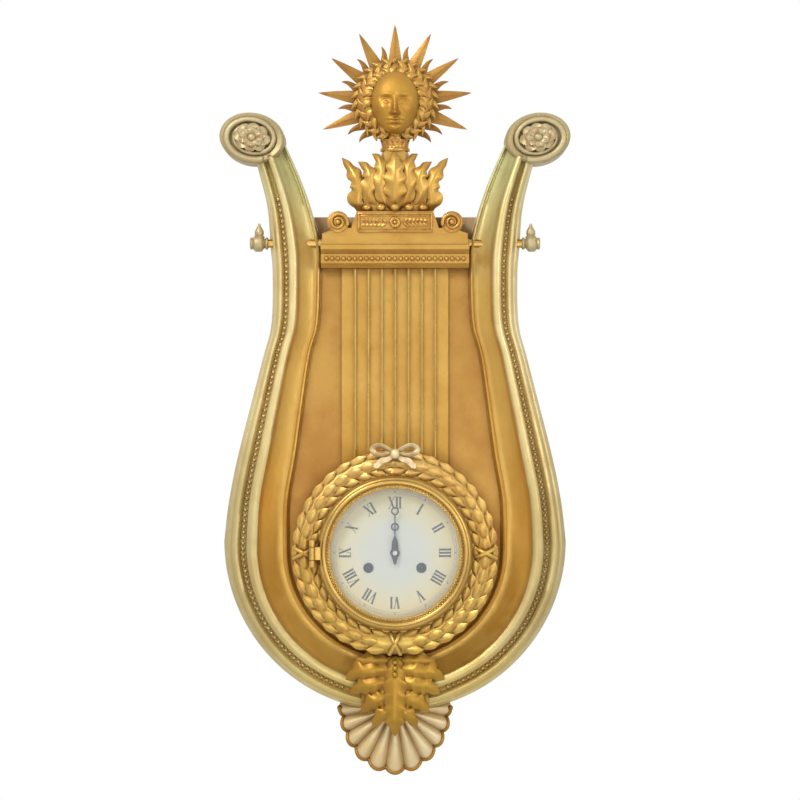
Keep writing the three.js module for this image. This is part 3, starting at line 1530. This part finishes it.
function pillarPlate() {
  const back = frontPlateDepth();
  const pillars = pillarAngles.map((angle) => {
    const place = polar(pillarCircle, angle);
    return disc(pillarRadius, plateInside + seat, back + weldDepth, pivotSteps, ...place);
  });
  const bores = [anchorPlace, hammerPlace].map((place) => [pivotRadius, ...place]);
  return joined(plate(back, back + plateThickness, bores), ...pillars);
}

function backPlate() {
  const bores = [anchorPlace, hammerPlace].map((place) => [arborRadius, ...place]);
  return plate(backPlateDepth, plateInside, bores);
}

// Motion work in front of the front plate
function cannonPinion() {
  const front = dialCrown() + minuteHandLift + handThickness * 2;
  const outline = pinionOutline(cannonLeaves, motionModule, minuteWheelAngle);
  const pinion = slab(outline, motionLevel, motionLevel + greatThickness);
  const pipe = disc(cannonRadius, motionLevel, front, smallSteps);
  return cut(joined(pinion, pipe), disc(pivotRadius + seat, 0, front + overrun, pivotSteps));
}

function minuteWheel() {
  const toCentre = Math.PI + minuteWheelAngle;
  const outline = wheelOutline(minuteWheelTeeth, motionModule, toCentre);
  const wheel = slab(outline, motionLevel, motionLevel + wheelThickness);
  const post = disc(pivotRadius, frontPlateDepth(), motionLevel + weldDepth, pivotSteps);
  const leaves = pinionOutline(minutePinionLeaves, hourWheelModule, toCentre);
  return joined(post, wheel, slab(leaves, motionLevel, hourLevel + greatThickness));
}

function hourWheel() {
  const front = dialCrown() + hourHandLift + handThickness;
  const outline = wheelOutline(hourWheelTeeth, hourWheelModule, minuteWheelAngle);
  const wheel = slab(outline, hourLevel, hourLevel + wheelThickness);
  const pipe = disc(hourPipeRadius, hourLevel, front, smallSteps);
  return cut(joined(wheel, pipe), disc(cannonRadius + seat, 0, front + overrun, smallSteps));
}

// Drum, bell and covers
function drum() {
  const back = backBoardGap + backBoardThickness + seat;
  const inner = drumRadius - drumWall;
  const tube = turned([
    [inner, back],
    [drumRadius, back],
    [drumRadius, ringLedge],
    [inner, ringLedge],
    [inner, back],
  ]);
  const sweep = bobRadius + pendulumLength * Math.sin(pendulumSwing) + seat;
  const slotDepth = bobThickness + seat * 8;
  return cut(tube, box(sweep * 2, drumRadius, slotDepth, 0, -drumRadius, pendulumDepth));
}

function bell() {
  const dome = (radius, height, foot) => bellStepShares.map((share) => {
    const angle = share * (Math.PI / 2);
    return [radius * Math.sin(angle), foot + height * (1 - Math.cos(angle))];
  });
  const outer = dome(bellRadius, bellHeight, bellBack);
  const inner = dome(bellRadius - bellWall, bellHeight - bellWall, bellBack + bellWall);
  const shell = turned([...outer, ...inner.reverse()], bobSteps);
  const bore = disc(bellPostRadius + seat, 0, ringFront, pivotSteps);
  return cut(shell, bore).translate(bellOffset, bellLift, 0);
}

function bellStand() {
  const post = disc(bellPostRadius, bellBack - weldDepth, backPlateDepth - seat, pivotSteps);
  const collarBack = bellBack + bellWall + seat * 3;
  const collar = disc(bellCollarRadius, collarBack, collarBack + bellPostRadius, pivotSteps);
  return joined(post, collar).translate(bellOffset, bellLift, 0);
}

function rearCover() {
  const front = backBoardGap - seat * 2;
  const shape = circle(bellOpeningRadius + coverLap);
  for (let slot = 0; slot < coverSlots; slot += 1) {
    const [x, y] = polar(bellOpeningRadius * coverSlotCircleShare, (slot / coverSlots) * 2 * Math.PI);
    shape.holes.push(hole(keyholeSlot, pivotSteps, x, y));
  }
  return slab(shape, front - coverThickness + seat, front);
}

function hangerPlate() {
  const half = hangerWidth / 2;
  const radius = hangerCorner;
  const top = hangerHeight / 2;
  const shape = new THREE.Shape();
  shape.absarc(half - radius, top - radius, radius, 0, Math.PI / 2, false);
  shape.absarc(-half + radius, top - radius, radius, Math.PI / 2, Math.PI, false);
  shape.absarc(-half + radius, -top + radius, radius, Math.PI, 1.5 * Math.PI, false);
  shape.absarc(half - radius, -top + radius, radius, 1.5 * Math.PI, 2 * Math.PI, false);
  shape.closePath();
  const eye = Math.asin(keyholeSlot / keyholeRadius);
  const keyhole = new THREE.Path();
  keyhole.absarc(0, -keyholeDrop - keyholeRun / 2, keyholeRadius, Math.PI / 2 - eye, Math.PI / 2 + eye, true);
  keyhole.absarc(0, -keyholeDrop + keyholeRun / 2, keyholeSlot, Math.PI, 0, true);
  keyhole.closePath();
  shape.holes.push(keyhole);
  return slab(shape, 0, hangerThickness, pivotSteps / 2).translate(0, hangerRise, 0);
}

// Assembly
const lyre = new THREE.Group();

function place(name, geometry, material, x = 0, y = 0, z = 0) {
  const mesh = new THREE.Mesh(closed(geometry), material);
  mesh.name = name;
  mesh.position.set(x, y, z);
  lyre.add(mesh);
}

const arm = rightArm();
place('right_arm', arm, gilt);
place('left_arm', mirrored(arm), gilt);
const rosetteSeat = scrollBack + scrollDepth - scrollSink + seat;
const flower = rosette();
place('right_rosette', flower.clone().rotateZ(scrollTilt), giltPale, scrollReach, armRise, rosetteSeat);
place('left_rosette', flower.clone().rotateZ(-scrollTilt), giltPale, -scrollReach, armRise, rosetteSeat);
place('back_board', backBoard(), limewood);
place('sound_board', soundBoard(), giltShade);
place('string_panel', stringPanel(), gilt);
const stringPitch = (panelHalfWidth * 2) / (stringCount + 1);
for (let string = 1; string <= stringCount; string += 1) {
  place(`string_${string}`, stringAt(-panelHalfWidth + string * stringPitch), brass);
}
place('crossbar', crossbar(), gilt);
place('crossbar_rod', crossbarRod(), brass);
place('right_knob', knob(), giltShade);
place('left_knob', mirrored(knob()), giltShade);
place('plinth', plinth(), gilt);
place('leaf_crest', leafCrest(), gilt);
place('sun_neck', sunNeck(), gilt);
place('sun_rays', sunRays(), giltShade);
place('sun_face', sunFace(), gilt);
place('bottom_boss', bottomBoss(), giltShade);
place('palmette_pendant', palmettePendant(), giltPale);
place('case_ring', caseRing(), gilt);
place('ribbon_bow', ribbonBow(), giltPale);
place('bezel', bezel(), brass);
place('bezel_glass', disc(glassRadius, glassBack(), glassBack() + glassThickness), glass);
place('bezel_hinge_pin', hingePin(), steel);
place('dial_plate', dialPlate(), brass);
place('dial', dial(), enamel);
place('minute_hand', minuteHand(), blued);
place('hour_hand', hourHand(), blued);
place('drum', drum(), brass);
place('pillar_plate', pillarPlate(), brass);
place('back_plate', backPlate(), brass);
place('going_barrel', barrel(goingPlace, secondPlace), brass, ...goingPlace);
place('going_winding_arbor', windingArbor(), steel, ...goingPlace);
place('second_wheel', secondWheel(), brass, ...secondPlace);
place('centre_wheel', centreWheel(), brass);
place('third_wheel', thirdWheel(), brass, ...thirdPlace);
place('escape_wheel', escapeWheel(), brass, ...escapePlace);
place('anchor', anchor(), steel, ...anchorPlace);
place('pendulum_cock', pendulumCock(), brass);
place('pendulum', pendulum(), brass);
place('strike_barrel', barrel(strikePlace, pinWheelPlace), brass, ...strikePlace);
place('strike_winding_arbor', windingArbor(), steel, ...strikePlace);
place('strike_pin_wheel', pinWheel(), brass, ...pinWheelPlace);
place('strike_warning_wheel', warningWheel(), brass, ...warningPlace);
place('strike_fly', fly(), brass, ...flyPlace);
place('strike_hammer', hammer(), steel, ...hammerPlace);
place('cannon_pinion', cannonPinion(), steel);
place('minute_wheel', minuteWheel(), brass, ...minuteWheelPlace);
place('hour_wheel', hourWheel(), brass);
place('bell', bell(), bronze);
place('bell_stand', bellStand(), steel);
place('rear_cover', rearCover(), brass);
place('hanger_plate', hangerPlate(), steel);

function glassBack() {
  return bezelFront - lipThickness - seat - glassThickness;
}

function hingePin() {
  const half = knuckleHeight + seat * 2;
  return rodAlongY(hingePinRadius, -half, half, -hingeReach, bezelFront, pivotSteps);
}

lyre.rotation.x = Math.PI / 2;
lyre.position.z = -hangerRise;
const cartelClock = new THREE.Group();
cartelClock.add(lyre);

export default cartelClock;
